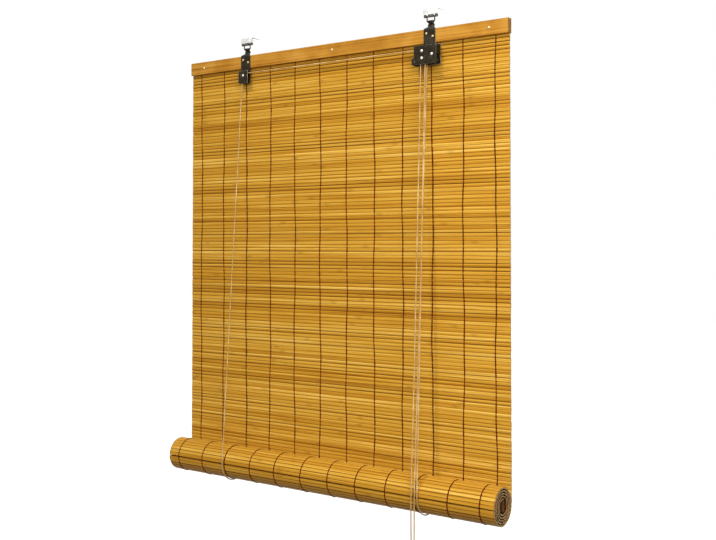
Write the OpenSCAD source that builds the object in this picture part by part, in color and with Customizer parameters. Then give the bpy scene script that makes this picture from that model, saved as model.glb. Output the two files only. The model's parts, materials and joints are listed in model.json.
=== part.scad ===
// Bamboo roll-up blind, hanging half raised from two ceiling plates.
// The front faces -Y, the width runs along X and the origin is midway between
// the two ceiling screws, on the ceiling. What hangs from the links is drawn upright
// and then leaned back.

/* [Mat] */
// Width of the blind
blind_w = 800; // [700:10:1000]
// Distance from one slat to the next
slat_pitch = 7.2; // [6.6:0.1:7.6]
// Open gap between two slats
slat_gap = 0.8; // [0.6:0.1:1.2]
// Thickness of a slat
slat_t = 2.6; // [2.2:0.1:3]
// How far the long edges of a slat are eased on the front
slat_ease = 0.5; // [0.3:0.1:0.8]
// Slats that hang below the rail
slat_rows = 119; // [100:1:120]
// Thickness of the binding that joins two slats
web_t = 0.8; // [0.6:0.1:1]
// Warp threads across the width
warp_count = 12; // [8:1:14]
// Distance from the edge of the mat to the first warp thread
warp_inset = 29.5; // [22:0.5:34]
// Width of a warp thread
thread_w = 1.4; // [1:0.1:1.8]
// How far a warp thread stands proud of the slats
thread_t = 0.5; // [0.3:0.1:0.6]

/* [Roll] */
// Diameter of the roll
roll_d = 74; // [68:1:80]
// Turns of the mat on the roll
roll_turns = 4.8; // [4.3:0.05:5]
// Width of the bottom lath inside the roll
bottom_lath_w = 21; // [18:0.5:23]
// Thickness of the bottom lath
bottom_lath_t = 5.5; // [5:0.1:6.5]

/* [Rail] */
// Height of the head rail
rail_h = 28; // [26:1:32]
// Thickness of the front lath
front_lath_t = 5.5; // [5:0.1:7]
// Thickness of the rear lath
rear_lath_t = 4.5; // [4:0.1:6]
// Rounding of the long edges of the laths
lath_r = 1.2; // [0.6:0.1:1.8]
// Distance from the end of the rail to its outer screws
rail_screw_inset = 40; // [30:1:60]
// Shank diameter of the rail screws
rail_screw_d = 3.5; // [3:0.1:4]
// Head diameter of the rail screws
rail_screw_head_d = 6.4; // [6:0.1:8]

/* [Ceiling plates] */
// Distance between the two ceiling screws
hanger_spacing = 468; // [420:2:520]
// Width of a ceiling plate
plate_w = 31; // [26:1:36]
// Depth of the flange against the ceiling
plate_depth = 24; // [20:1:28]
// Sheet thickness of a ceiling plate
plate_t = 1.5; // [1.2:0.1:2]
// Drop from the ceiling to the upper link pivot
plate_drop = 13.5; // [12:0.5:18]
// Diameter of the ceiling screw hole
screw_hole_d = 4.5; // [4:0.1:5.5]

/* [Links] */
// Wire diameter of a link
link_wire_d = 2.4; // [2:0.1:2.8]
// Distance between the two pivots of a link
link_pitch = 11; // [10:0.5:14]
// Bend radius of a link's corners
link_corner = 2.2; // [1.8:0.1:3]
// Angle that the blind leans back, so that its weight hangs under the links
lean = 1.3; // [0:0.1:2]

/* [Brackets] */
// Width of a strap
strap_w = 26; // [25:1:30]
// Sheet thickness of a strap
strap_t = 1.5; // [1.2:0.1:1.8]
// Width of the neck above the rail
neck_w = 15; // [13:0.5:17]
// Width of the curled tongue at the top of the neck
tongue_w = 11.5; // [9:0.5:12.5]
// How far the neck is set back behind the strap
neck_set = 7; // [6:0.5:8]
// Distance from the lower link pivot down to the rail
neck_rise = 14.5; // [13.5:0.5:18]
// Sheet thickness of the covers
cover_t = 1.2; // [1:0.1:1.5]
// Depth of the pulley cover
pulley_cover_depth = 8.6; // [8.4:0.1:10]
// Height of the pulley cover
pulley_cover_h = 27; // [26:1:32]
// Depth of the cord lock
lock_depth = 17; // [16:0.5:20]
// Height of the cord lock
lock_h = 36; // [34:1:40]
// Diameter of the rivets
rivet_d = 3; // [2.6:0.1:3.2]
// Head diameter of the rivets
rivet_head_d = 5.6; // [5:0.1:6.5]
// Shank diameter of the strap screws
strap_screw_d = 2.8; // [2.4:0.1:3.2]
// Head diameter of the strap screws
strap_screw_head_d = 5; // [4.5:0.1:6]

/* [Sheaves] */
// Distance from the rail down to the sheave axles
axle_drop = 17; // [16:0.5:19]
// Radius at which the cord runs round a sheave
sheave_r = 5; // [4.8:0.1:5.4]
// Width of a sheave
sheave_w = 5.6; // [5.2:0.1:5.8]
// Distance from the strap to the middle of the rear sheaves
rear_sheave_set = 4.2; // [4.1:0.1:4.4]
// Distance from the strap to the middle of the front sheave
front_sheave_set = 11.2; // [10.8:0.1:11.8]

/* [Cords] */
// Diameter of the cords
cord_d = 2; // [1.6:0.1:2.2]
// How far the left cord loop lies to the left of its strap's middle
left_loop_set = 5; // [0:1:15]
// How far the right cord loop lies to the right of its strap's middle
right_loop_set = 10; // [2:1:20]

/* [Hidden] */
$fn = 48;

// Clearances
pivot_fit = 0.1;
axle_fit = 0.1;
cord_gap = 0.4;
joint_gap = 0.5;
lath_gap = 0.7;
tongue_side_gap = 0.5;
thread_seat = 0.12;
cut = 1;

// Pivots of the links
curl_bore_r = link_wire_d / 2 + pivot_fit;
plate_curl_r = curl_bore_r + plate_t;
strap_curl_r = curl_bore_r + strap_t;
pivot_y = plate_curl_r - plate_depth / 2;
upper_pivot_z = -plate_drop;
lower_pivot_z = upper_pivot_z - link_pitch;
link_straight = tongue_w + 2 * tongue_side_gap;
leg_x = link_straight / 2 + link_corner;
leg_slot_out = leg_x + link_wire_d / 2 + tongue_side_gap;
plate_curl_inset = 1;

// Planes of the rail, the strap and the mat
rail_top_z = lower_pivot_z - neck_rise;
rail_bottom_z = rail_top_z - rail_h;
strap_back_y = pivot_y + strap_curl_r - neck_set;
strap_front_y = strap_back_y - strap_t;
mat_front_y = strap_back_y + front_lath_t;
mat_y = mat_front_y + slat_t / 2;
rear_lath_y = mat_front_y + slat_t;
rail_back_y = rear_lath_y + rear_lath_t;
strap_xs = [-hanger_spacing / 2, hanger_spacing / 2];
left_x = strap_xs[0];
right_x = strap_xs[1];
strap_shoulder = 4.5;
strap_bend_rises = [1, 6];

// Mat and its warp threads
mat_tuck = 0.5;
mat_bottom_z = rail_bottom_z - slat_rows * slat_pitch;
warp_step = (blind_w - 2 * warp_inset) / (warp_count - 1);
warp_xs = [for (i = [0 : warp_count - 1]) -blind_w / 2 + warp_inset + i * warp_step];

// Roll, wound to the front from the foot of the mat
roll_mid_r = roll_d / 2 - slat_t / 2;
roll_y = mat_y - roll_mid_r;
roll_z = mat_bottom_z;
bottom_lath_r = 2;
bottom_lath_reach = bottom_lath_r
    + norm([bottom_lath_w / 2 - bottom_lath_r, bottom_lath_t / 2 - bottom_lath_r]);
roll_core_r = bottom_lath_reach + lath_gap + slat_t / 2;
roll_pitch = (roll_mid_r - roll_core_r) / roll_turns;
roll_length = PI * (pow(roll_mid_r, 2) - pow(roll_core_r, 2)) / roll_pitch;
roll_slats = floor(roll_length / slat_pitch);
turn_slats = floor(2 * PI * (roll_mid_r - roll_pitch / 2) / slat_pitch);

// Screws of the straps and the rail
strap_screw_dx = 7;
strap_screw_drops = [9, 15.5];
strap_screw_depth = 4;
screw_head_share = 0.3;
rail_screw_xs = [-blind_w / 2 + rail_screw_inset, 0, blind_w / 2 - rail_screw_inset];
rail_screw_tip = 1;

// Covers, with places counted from the strap's middle and the rail's foot
cover_top = 7;
plate_top = 3.5;
lock_right = 24.5;
lock_left = -25;
lock_flare = 5;
lock_flare_drops = [29, 32];
lock_side_wall_drop = 25;
lock_window_h = 6;
cover_bottom = cover_top + pulley_cover_h;
lock_bottom = cover_top + lock_h;
dimple = [-22.5, 36];
dimple_d = 3;
dimple_depth = 0.5;

// Rivets of the lock: sheave axle, cam axle and side rivet
lock_axle_dx = -7.5;
cam_drop = 14;
side_rivet_dx = 14.5;
side_rivet_drop = 8;
rivet_head_share = 0.3;
rivet_tail_d = 5;
rivet_tail_t = 1;
axle_z = rail_bottom_z - axle_drop;
lock_x = right_x + lock_axle_dx;
cam_z = axle_z - cam_drop;
rear_sheave_y = strap_front_y - rear_sheave_set;
front_sheave_y = strap_front_y - front_sheave_set;

// Sheaves and the cord lock's cam
sheave_gap = 0.35;
sheave_seat_r = sheave_r - cord_d / 2 - sheave_gap;
sheave_flange_h = 1.2;
sheave_rim_r = sheave_r + sheave_flange_h;
sheave_bore_r = rivet_d / 2 + axle_fit;
seat_w = cord_d + 2 * sheave_gap;
groove_flare = 0.6;
rim_groove_w = seat_w + 2 * groove_flare;
cam_r = sheave_r - cord_d / 2 - sheave_gap;
cam_wall = 1.1;
cam_base_r = sheave_bore_r + cam_wall;
cam_teeth = 9;
cam_tooth_h = 0.4;
cam_end_gap = 0.4;

// Lift cords
left_loop_x = left_x - left_loop_set;
right_loop_x = right_x + right_loop_set;
loop_r = roll_d / 2 + thread_seat + thread_t + cord_gap + cord_d / 2;
rear_cord_top_drop = 6;
rear_cord_y = rail_back_y + cord_gap + cord_d / 2;
staple_wire_d = 1.2;
staple_fit = 0.2;
staple_r = cord_d / 2 + staple_fit + staple_wire_d / 2;
staple_drop = 14;
staple_depth = 3;

// Routes of the two pull cords, from the sheaves to the roll's front and on to the knot
left_pull_route = [
    [231.5, -26, -84], [230.8, -26, -81.5], [229, -26, -79.7], [226.5, -26, -79],
    [224, -26, -79.7], [222.2, -26, -81.5], [221.5, -26, -84], [221.5, -26.5, -90],
    [222, -28, -112], [224, -38, -280], [227, -52, -480], [230, -66.5, -690],
    [232, -82.5, -923]
];
right_pull_route = [
    [231.5, -19, -84.2], [231.5, -19.2, -87], [231.5, -19.5, -90], [231.6, -20.2, -100],
    [231.8, -21, -112], [232.3, -26.5, -190], [233, -33, -280], [234, -40.5, -380],
    [235, -48.5, -480], [236, -56.5, -585], [237, -64.5, -690], [238, -73.5, -807],
    [239, -82.5, -923]
];
left_pull_end_route = [
    [232, -82.5, -923.5], [232, -82.6, -960], [232.3, -82.6, -1000], [233.8, -82.6, -1045],
    [234.6, -82.6, -1068]
];
right_pull_end_route = [
    [239, -82.5, -923.5], [239, -82.6, -960], [238.7, -82.6, -1000], [237.4, -82.6, -1045],
    [236.8, -82.6, -1068]
];
knot_place = [235.7, -82.6, -1068];
knot_d = 8;
knot_h = 9;
knot_flat = 75;

// Leans what hangs from the links back about their lower pivot
module hung() {
    translate([0, pivot_y, lower_pivot_z]) rotate([lean, 0, 0])
        translate([0, -pivot_y, -lower_pivot_z]) children();
}

// Draws a shape of (y, z) points out along X
module along_x(x, length) {
    translate([x, 0, 0]) rotate([90, 0, 90]) linear_extrude(length) children();
}

// Draws a shape of (x, z) points out towards the front
module to_front(y, depth) {
    translate([0, y, 0]) rotate([90, 0, 0]) linear_extrude(depth) children();
}

// A round bar that runs from a point towards the front
module bar_to_front(x, y, z, length, d) {
    translate([x, y, z]) rotate([90, 0, 0]) cylinder(h = length, d = d);
}

// A round bar between two points
module rod(from, to, d) {
    v = to - from;
    turn = atan2(v[1], v[0]);
    tilt = acos(v[2] / norm(v));
    translate(from) rotate([0, tilt, turn]) cylinder(h = norm(v), d = d);
}

// Part of a ring of round wire in the XY plane, counted from a start angle
module wire_arc(r, d, start, sweep) {
    rotate([0, 0, start]) rotate_extrude(angle = sweep) translate([r, 0]) circle(d = d);
}

// A domed head that faces the front
module dome_head(x, y, z, d, share) {
    h = share * d;
    dome = [for (a = [0 : 15 : 90]) [d / 2 * cos(a), h * sin(a)]];
    translate([x, y, z]) rotate([90, 0, 0]) rotate_extrude() polygon(concat([[0, 0]], dome));
}

// Corner points of a rounded rectangle about the origin
function rounded_box(w, h, r) = [
    for (q = [0 : 3])
        for (a = [0 : 22.5 : 90])
            [
                (q == 0 || q == 3 ? 1 : -1) * (w / 2 - r) + r * cos(90 * q + a),
                (q < 2 ? 1 : -1) * (h / 2 - r) + r * sin(90 * q + a)
            ]
];

// A tube of the cord's diameter swept along a route
function unit(v) = v / norm(v);
function heading(route, i) =
    let (last = len(route) - 1)
    unit(route[min(i + 1, last)] - route[max(i - 1, 0)]);
function ring(p, d, way, sides) =
    let (across = unit(cross(way, [0, 1, 0])), over = cross(across, way))
    [for (k = [0 : sides - 1])
        p + d / 2 * (cos(360 * k / sides) * across + sin(360 * k / sides) * over)];
module cord_tube(route, d, sides = 8) {
    last = len(route) - 1;
    points = [for (i = [0 : last]) each ring(route[i], d, heading(route, i), sides)];
    walls = [
        for (i = [0 : last - 1])
            for (k = [0 : sides - 1])
                [
                    i * sides + k, i * sides + (k + 1) % sides,
                    (i + 1) * sides + (k + 1) % sides, (i + 1) * sides + k
                ]
    ];
    start = [for (k = [sides - 1 : -1 : 0]) k];
    end = [for (k = [0 : sides - 1]) last * sides + k];
    polyhedron(points, concat([start], walls, [end]));
}

// Ceiling plates and links

module ceiling_plate(x) {
    lip_z = upper_pivot_z + plate_curl_r;
    lip_y = plate_t - plate_depth / 2;
    curl_w = plate_w - 2 * plate_curl_inset;
    lip = [
        [-plate_w / 2, 0], [plate_w / 2, 0], [plate_w / 2, lip_z], [curl_w / 2, lip_z],
        [curl_w / 2, upper_pivot_z], [-curl_w / 2, upper_pivot_z],
        [-curl_w / 2, lip_z], [-plate_w / 2, lip_z]
    ];
    slot_w = leg_slot_out - tongue_w / 2;
    translate([x, 0, 0]) difference() {
        union() {
            translate([-plate_w / 2, -plate_depth / 2, -plate_t])
                cube([plate_w, plate_depth, plate_t]);
            to_front(lip_y, plate_t) polygon(lip);
            translate([-curl_w / 2, pivot_y, upper_pivot_z]) rotate([0, 90, 0])
                cylinder(h = curl_w, r = plate_curl_r);
        }
        translate([-plate_w / 2, pivot_y, upper_pivot_z]) rotate([0, 90, 0])
            cylinder(h = plate_w, r = curl_bore_r);
        for (start = [-leg_slot_out, tongue_w / 2])
            translate([start, pivot_y - plate_curl_r - cut, upper_pivot_z - plate_curl_r - cut])
                cube([slot_w, 2 * (plate_curl_r + cut), 2 * plate_curl_r + cut]);
        translate([0, 0, -plate_t - cut]) cylinder(h = plate_t + 2 * cut, d = screw_hole_d);
    }
}

module left_plate() { color("lightgray") ceiling_plate(left_x); }
module right_plate() { color("lightgray") ceiling_plate(right_x); }

module link(x) {
    leg = link_pitch - 2 * link_corner;
    translate([x, pivot_y, lower_pivot_z + link_pitch / 2]) rotate([90, 0, 0])
        for (turn = [0, 180])
            rotate([0, 0, turn]) {
                translate([-link_straight / 2, link_pitch / 2, 0]) rotate([0, 90, 0])
                    cylinder(h = link_straight, d = link_wire_d);
                translate([leg_x, -leg / 2, 0]) rotate([-90, 0, 0])
                    cylinder(h = leg, d = link_wire_d);
                translate([link_straight / 2, leg / 2, 0])
                    wire_arc(link_corner, link_wire_d, 0, 90);
                translate([link_straight / 2, -leg / 2, 0])
                    wire_arc(link_corner, link_wire_d, -90, 90);
            }
}

module left_link() { color("dimgray") link(left_x); }
module right_link() { color("dimgray") link(right_x); }

// Head rail

module lath(y, thickness) {
    along_x(-blind_w / 2, blind_w)
        translate([y + thickness / 2, rail_bottom_z + rail_h / 2])
            polygon(rounded_box(thickness, rail_h, lath_r));
}

module each_strap_screw() {
    for (x = strap_xs)
        for (i = [0, 1])
            translate([x + (2 * i - 1) * strap_screw_dx, 0, rail_top_z - strap_screw_drops[i]])
                children();
}

module each_rail_screw() {
    for (x = rail_screw_xs)
        translate([x, 0, rail_bottom_z + rail_h / 2]) children();
}

module each_staple_leg() {
    for (x = [left_loop_x, right_loop_x])
        for (side = [-staple_r, staple_r])
            translate([x + side, 0, rail_top_z - staple_drop]) children();
}

module front_lath() {
    color("goldenrod") difference() {
        lath(strap_back_y, front_lath_t);
        each_strap_screw()
            bar_to_front(0, strap_back_y + strap_screw_depth, 0,
                strap_screw_depth + cut, strap_screw_d);
        each_rail_screw()
            bar_to_front(0, mat_front_y + cut, 0, front_lath_t + 2 * cut, rail_screw_d);
    }
}

module rear_lath() {
    color("goldenrod") difference() {
        lath(rear_lath_y, rear_lath_t);
        each_rail_screw()
            bar_to_front(0, rail_back_y - rail_screw_tip, 0, rear_lath_t + cut, rail_screw_d);
        each_staple_leg()
            bar_to_front(0, rail_back_y + cut, 0, staple_depth + cut, staple_wire_d);
    }
}

module rail_screws() {
    color("silver") each_rail_screw() {
        bar_to_front(0, rail_back_y - rail_screw_tip, 0,
            rail_back_y - rail_screw_tip - strap_back_y, rail_screw_d);
        dome_head(0, strap_back_y, 0, rail_screw_head_d, screw_head_share);
    }
}

// Straps, covers and rivets

// Front outline of the neck and strap, down to a drop below the rail
module strap_outline(drop) {
    throat = lower_pivot_z - strap_curl_r - tongue_side_gap;
    half = [
        [tongue_w / 2, lower_pivot_z], [tongue_w / 2, throat],
        [neck_w / 2, throat - (neck_w - tongue_w) / 2],
        [neck_w / 2, rail_top_z + strap_shoulder], [strap_w / 2, rail_top_z],
        [strap_w / 2, rail_bottom_z - drop]
    ];
    mirrored = [for (i = [len(half) - 1 : -1 : 0]) [-half[i][0], half[i][1]]];
    polygon(concat(half, mirrored));
}

function lock_outline(top) = [
    [lock_left, -top], [lock_right, -top], [lock_right, -lock_bottom],
    [lock_left - lock_flare, -lock_bottom],
    [lock_left - lock_flare, -lock_flare_drops[1]],
    [lock_left, -lock_flare_drops[0]]
];

// Sheet seen from the side: flat on the rail, then set back to the link
module strap_side(drop) {
    bend = [for (rise = strap_bend_rises) rail_top_z + rise];
    front = [
        [strap_front_y, rail_bottom_z - drop], [strap_front_y, bend[0]],
        [strap_front_y + neck_set, bend[1]], [strap_front_y + neck_set, lower_pivot_z]
    ];
    back = [for (i = [3 : -1 : 0]) front[i] + [strap_t, 0]];
    along_x(-blind_w / 2, blind_w) polygon(concat(front, back));
}

module strap_sheet(x, drop) {
    through = 4 * neck_set;
    difference() {
        union() {
            intersection() {
                strap_side(drop);
                translate([x, 0, 0]) to_front(through, 3 * through) strap_outline(drop);
            }
            translate([x - tongue_w / 2, pivot_y, lower_pivot_z]) rotate([0, 90, 0])
                cylinder(h = tongue_w, r = strap_curl_r);
        }
        translate([x - tongue_w, pivot_y, lower_pivot_z]) rotate([0, 90, 0])
            cylinder(h = 2 * tongue_w, r = curl_bore_r);
    }
}

module each_lock_rivet() {
    for (p = [
        [lock_x, axle_z], [lock_x, cam_z],
        [right_x + side_rivet_dx, axle_z - side_rivet_drop]
    ])
        translate([p[0], 0, p[1]]) children();
}

module sheet_hole(d) {
    bar_to_front(0, strap_back_y + cut, 0, strap_t + 2 * cut, d);
}

module left_strap() {
    color("#2b2723") difference() {
        strap_sheet(left_x, cover_bottom);
        each_strap_screw() sheet_hole(strap_screw_d);
        translate([left_x, 0, axle_z]) sheet_hole(rivet_d);
    }
}

module right_strap() {
    color("#2b2723") difference() {
        union() {
            strap_sheet(right_x, lock_bottom);
            translate([right_x, 0, rail_bottom_z]) to_front(strap_back_y, strap_t)
                polygon(lock_outline(plate_top));
        }
        each_strap_screw() sheet_hole(strap_screw_d);
        each_lock_rivet() sheet_hole(rivet_d);
    }
}

module pulley_cover() {
    half = strap_w / 2;
    color("#2b2723") difference() {
        translate([left_x, 0, rail_bottom_z]) difference() {
            to_front(strap_front_y, pulley_cover_depth) polygon([
                [-half, -cover_top], [half, -cover_top],
                [half, -cover_bottom], [-half, -cover_bottom]
            ]);
            to_front(strap_front_y + cut, pulley_cover_depth - cover_t + cut) polygon([
                [cover_t - half, -cover_top - cover_t], [half + cut, -cover_top - cover_t],
                [half + cut, -cover_bottom - cut], [cover_t - half, -cover_bottom - cut]
            ]);
        }
        bar_to_front(left_x, strap_front_y, axle_z, pulley_cover_depth + cut, rivet_d);
    }
}

module lock_cover() {
    room = lock_depth - cover_t;
    front_y = strap_front_y - lock_depth;
    inside = [
        [lock_left + cover_t, -cover_top - cover_t], [lock_right + cut, -cover_top - cover_t],
        [lock_right + cut, -lock_bottom - cut],
        [lock_left - lock_flare + cover_t, -lock_bottom - cut],
        [lock_left - lock_flare + cover_t, -lock_flare_drops[1] - cover_t / 2],
        [lock_left + cover_t, -lock_flare_drops[0] - cover_t / 2]
    ];
    color("#2b2723") difference() {
        union() {
            translate([right_x, 0, rail_bottom_z]) difference() {
                to_front(strap_front_y, lock_depth) polygon(lock_outline(cover_top));
                to_front(strap_front_y + cut, room + cut) polygon(inside);
            }
            translate([right_x + lock_right - cover_t, front_y, rail_bottom_z - lock_side_wall_drop])
                cube([cover_t, lock_depth, lock_side_wall_drop - cover_top]);
        }
        translate([
            right_x + lock_left - cut, strap_front_y - room, axle_z + sheave_r - lock_window_h / 2
        ])
            cube([cover_t + 2 * cut, room + cut, lock_window_h]);
        each_lock_rivet() bar_to_front(0, strap_front_y, 0, lock_depth + cut, rivet_d);
        bar_to_front(right_x + dimple[0], front_y + dimple_depth, rail_bottom_z - dimple[1],
            cut + dimple_depth, dimple_d);
    }
}

// A rivet through a strap and its cover, with a dome in front and a flat tail behind
module rivet(depth) {
    bar_to_front(0, strap_back_y, 0, strap_t + depth, rivet_d);
    bar_to_front(0, strap_back_y + rivet_tail_t, 0, rivet_tail_t, rivet_tail_d);
    dome_head(0, strap_front_y - depth, 0, rivet_head_d, rivet_head_share);
}

module pulley_rivet() {
    color("silver") translate([left_x, 0, axle_z]) rivet(pulley_cover_depth);
}

module lock_rivets() {
    color("silver") each_lock_rivet() rivet(lock_depth);
}

module strap_screws() {
    color("silver") each_strap_screw() {
        bar_to_front(0, strap_back_y + strap_screw_depth, 0,
            strap_screw_depth + strap_t, strap_screw_d);
        dome_head(0, strap_front_y, 0, strap_screw_head_d, screw_head_share);
    }
}

// Sheaves and cam, each on its rivet

module sheave(x, y) {
    profile = [
        [sheave_bore_r, -sheave_w / 2], [sheave_rim_r, -sheave_w / 2],
        [sheave_rim_r, -rim_groove_w / 2], [sheave_seat_r, -seat_w / 2],
        [sheave_seat_r, seat_w / 2], [sheave_rim_r, rim_groove_w / 2],
        [sheave_rim_r, sheave_w / 2], [sheave_bore_r, sheave_w / 2]
    ];
    translate([x, y, axle_z]) rotate([90, 0, 0]) rotate_extrude() polygon(profile);
}

module left_sheave() { color("saddlebrown") sheave(left_x, rear_sheave_y); }
module rear_lock_sheave() { color("saddlebrown") sheave(lock_x, rear_sheave_y); }
module front_lock_sheave() { color("saddlebrown") sheave(lock_x, front_sheave_y); }

module lock_cam() {
    step = 180 / cam_teeth;
    nose = [for (i = [0 : cam_teeth - 1]) each [
        cam_r * [cos(i * step), sin(i * step)],
        (cam_r - cam_tooth_h) * [cos((i + 0.5) * step), sin((i + 0.5) * step)]
    ]];
    heel = [for (a = [180 : 20 : 340]) cam_base_r * [cos(a), sin(a)]];
    length = lock_depth - cover_t - 2 * cam_end_gap;
    color("darkgray") translate([lock_x, 0, cam_z]) difference() {
        to_front(strap_front_y - cam_end_gap, length) polygon(concat(nose, heel));
        bar_to_front(0, strap_front_y + cut, 0, length + 2 * cut, 2 * sheave_bore_r);
    }
}

// Mat: slats with eased front edges, joined at both edges by thin bindings along the back

function slat_top(row) = rail_bottom_z - row * slat_pitch - slat_gap / 2;
function slat_foot(row) = slat_top(row) - slat_pitch + slat_gap;

module mat_profile() {
    band_top = rail_top_z - mat_tuck;
    band_foot = rail_bottom_z + slat_gap / 2;
    web_y = rear_lath_y - web_t;
    ridges = [
        for (row = [0 : slat_rows - 1]) each [
            [web_y, slat_top(row)], [mat_front_y, slat_top(row) - slat_ease],
            [mat_front_y, slat_foot(row) + slat_ease], [web_y, slat_foot(row)]
        ]
    ];
    polygon(concat(
        [[rear_lath_y, band_top], [mat_front_y, band_top], [mat_front_y, band_foot], [web_y, band_foot]],
        ridges,
        [[rear_lath_y, slat_foot(slat_rows - 1)]]
    ));
}

module hanging_mat() {
    slot_w = blind_w - 2 * warp_inset;
    color("#c8923a") difference() {
        along_x(-blind_w / 2, blind_w) mat_profile();
        for (row = [0 : slat_rows - 2])
            translate([-slot_w / 2, mat_front_y, slat_foot(row) - slat_gap])
                cube([slot_w, slat_t + cut, slat_gap]);
        each_rail_screw()
            bar_to_front(0, rear_lath_y + cut, 0, slat_t + 2 * cut, rail_screw_d);
    }
}

module warp_threads() {
    foot = mat_bottom_z + joint_gap;
    length = rail_bottom_z - cord_gap - foot;
    color("#4a2a12")
        for (x = warp_xs)
            for (y = [mat_front_y - thread_t, rear_lath_y])
                translate([x - thread_w / 2, y, foot]) cube([thread_w, thread_t, length]);
}

// Roll: the mat's slats follow a spiral inwards, with the bottom lath at the core

// Angle of the spiral at a length of mat, and a point at an offset from its middle
function wound(s) =
    360 / roll_pitch * (roll_mid_r - sqrt(pow(roll_mid_r, 2) - roll_pitch * s / PI));
function on_roll(s, out) =
    let (a = wound(s), r = roll_mid_r - roll_pitch * a / 360 + out)
    [roll_y + r * cos(a), roll_z - r * sin(a)];
function slat_start(k) = k * slat_pitch + slat_gap / 2;
function slat_end(k) = (k + 1) * slat_pitch - slat_gap / 2;

function reversed(list) = [for (i = [len(list) - 1 : -1 : 0]) list[i]];

// The outer face steps in to the binding between slats, the inner one is plain
module mat_roll() {
    outer = [
        for (k = [0 : roll_slats - 1]) each [
            on_roll(slat_start(k), web_t / 2), on_roll(slat_start(k), slat_t / 2),
            on_roll(slat_end(k), slat_t / 2), on_roll(slat_end(k), web_t / 2)
        ]
    ];
    inner = [
        for (k = [0 : roll_slats])
            on_roll(min(max(k * slat_pitch, slat_start(0)), slat_end(roll_slats - 1)), -slat_t / 2)
    ];
    color("#c08a38") along_x(-blind_w / 2, blind_w) polygon(concat(outer, reversed(inner)));
}

module roll_threads() {
    ties = [for (k = [0 : turn_slats - 1]) slat_start(0) + k * slat_pitch];
    outer = [for (s = ties) on_roll(s, slat_t / 2 + thread_seat + thread_t)];
    inner = [for (s = ties) on_roll(s, slat_t / 2 + thread_seat)];
    color("#4a2a12")
        for (x = warp_xs)
            along_x(x - thread_w / 2, thread_w) polygon(concat(outer, reversed(inner)));
}

module bottom_lath() {
    end = wound((roll_slats - 0.5) * slat_pitch);
    color("peru") along_x(-blind_w / 2, blind_w)
        translate([roll_y, roll_z]) rotate(-end)
            polygon(rounded_box(bottom_lath_w, bottom_lath_t, bottom_lath_r));
}

// Lift cords: over the sheaves, down the front, under the roll and up behind the mat

module cross_cord() {
    z = axle_z + sheave_r;
    color("wheat") {
        translate([left_x, rear_sheave_y, axle_z]) rotate([90, 0, 0])
            wire_arc(sheave_r, cord_d, 90, 90);
        translate([left_x, rear_sheave_y, z]) rotate([0, 90, 0])
            cylinder(h = lock_x - left_x, d = cord_d);
        translate([lock_x, rear_sheave_y, axle_z]) rotate([90, 0, 0])
            wire_arc(sheave_r, cord_d, 0, 90);
    }
}

module left_lift_cord() {
    color("wheat") rod(
        [left_x - sheave_r, rear_sheave_y, axle_z - joint_gap],
        [left_loop_x, roll_y - loop_r, roll_z + joint_gap], cord_d);
}

module right_lift_cord() {
    color("wheat") rod(
        [lock_x + sheave_r, front_sheave_y, axle_z - joint_gap],
        [right_loop_x, roll_y - loop_r, roll_z + joint_gap], cord_d);
}

module rear_cord(x) {
    color("wheat") rod(
        [x, rear_cord_y, rail_top_z - rear_cord_top_drop],
        [x, roll_y + loop_r, roll_z + joint_gap], cord_d);
}

module left_rear_cord() { rear_cord(left_loop_x); }
module right_rear_cord() { rear_cord(right_loop_x); }

module cord_loop(x) {
    color("wheat") translate([x, roll_y, roll_z]) rotate([90, 0, 90])
        wire_arc(loop_r, cord_d, 180, 180);
}

module left_cord_loop() { cord_loop(left_loop_x); }
module right_cord_loop() { cord_loop(right_loop_x); }

module cord_staples() {
    color("silver") {
        for (x = [left_loop_x, right_loop_x])
            translate([x, rear_cord_y, rail_top_z - staple_drop])
                wire_arc(staple_r, staple_wire_d, 0, 180);
        each_staple_leg()
            bar_to_front(0, rear_cord_y, 0,
                rear_cord_y - rail_back_y + staple_depth, staple_wire_d);
    }
}

// Pull cords, tied together in a knot

module left_pull_cord() { color("wheat") cord_tube(left_pull_route, cord_d); }
module right_pull_cord() { color("wheat") cord_tube(right_pull_route, cord_d); }
module left_pull_end() { color("wheat") cord_tube(left_pull_end_route, cord_d); }
module right_pull_end() { color("wheat") cord_tube(right_pull_end_route, cord_d); }

module pull_knot() {
    half = [for (a = [-knot_flat : 15 : knot_flat]) [knot_d / 2 * cos(a), knot_h / 2 * sin(a)]];
    low = [0, -knot_h / 2 * sin(knot_flat)];
    color("wheat") translate(knot_place - [0, 0, knot_h / 2])
        rotate_extrude() polygon(concat([low], half, [-low]));
}

left_plate();
right_plate();
left_link();
right_link();
hung() front_lath();
hung() rear_lath();
hung() rail_screws();
hung() strap_screws();
hung() left_strap();
hung() right_strap();
hung() pulley_cover();
hung() lock_cover();
hung() pulley_rivet();
hung() lock_rivets();
hung() hanging_mat();
hung() warp_threads();
hung() cord_staples();
hung() cross_cord();
hung() left_lift_cord();
hung() right_lift_cord();
hung() left_rear_cord();
hung() right_rear_cord();
hung() left_pull_cord();
hung() right_pull_cord();
hung() left_sheave();
hung() rear_lock_sheave();
hung() front_lock_sheave();
hung() lock_cam();
hung() left_cord_loop();
hung() right_cord_loop();
hung() left_pull_end();
hung() right_pull_end();
hung() mat_roll();
hung() roll_threads();
hung() bottom_lath();
hung() pull_knot();
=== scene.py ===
# %% [markdown]
# # A bamboo roll-up blind
# The blind hangs from two ceiling plates and is half rolled up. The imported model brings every
# part at its true size, so this lesson dresses the parts that a plain solid can't show: split
# slats, binding threads, twisted cords and the finish of wood and metal.

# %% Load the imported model
import json
import math
import random

import bmesh
import bpy
import numpy as np
from mathutils import Matrix, Vector


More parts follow.
